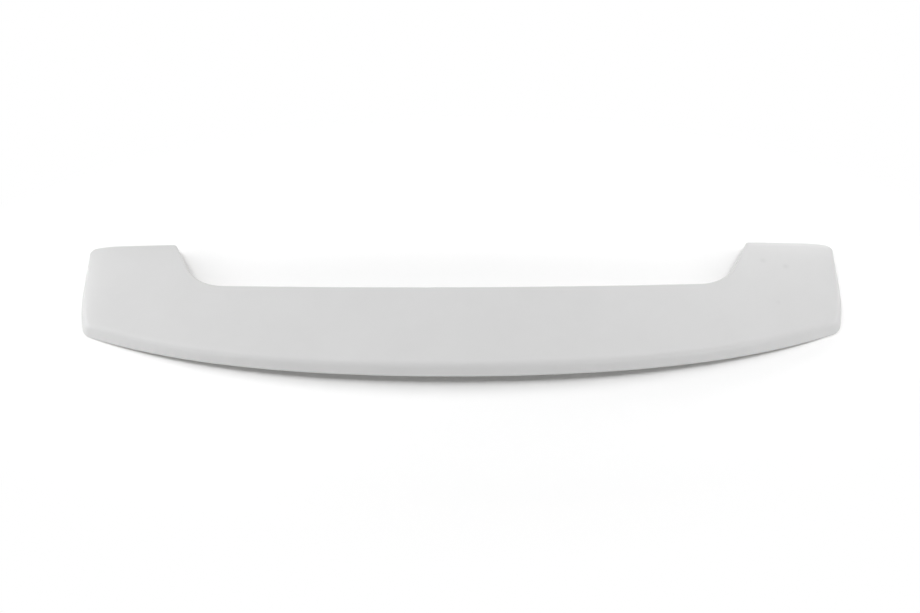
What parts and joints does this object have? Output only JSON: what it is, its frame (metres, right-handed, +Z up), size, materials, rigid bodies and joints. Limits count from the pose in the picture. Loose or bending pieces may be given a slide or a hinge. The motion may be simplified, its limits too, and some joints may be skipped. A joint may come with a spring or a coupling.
{
  "type": "car roof spoiler",
  "caption": "Wide one-piece rear roof spoiler with a crowned top, a turned-down trailing edge and an ear at each end reaching forward beside a shallow notch.",
  "frame": {"origin": "middle of the footprint, on the surface that the spoiler lies on", "axes": "+X across the car to its right, +Y towards the front of the car, +Z up; the trailing edge faces -Y"},
  "size_m": [1.2138, 0.2724, 0.0386],
  "materials": {
    "moulding": "matte light grey gel coat, unpainted"
  },
  "bodies": {
    "root": {"spoiler": "moulding"}
  },
  "joints": []
}
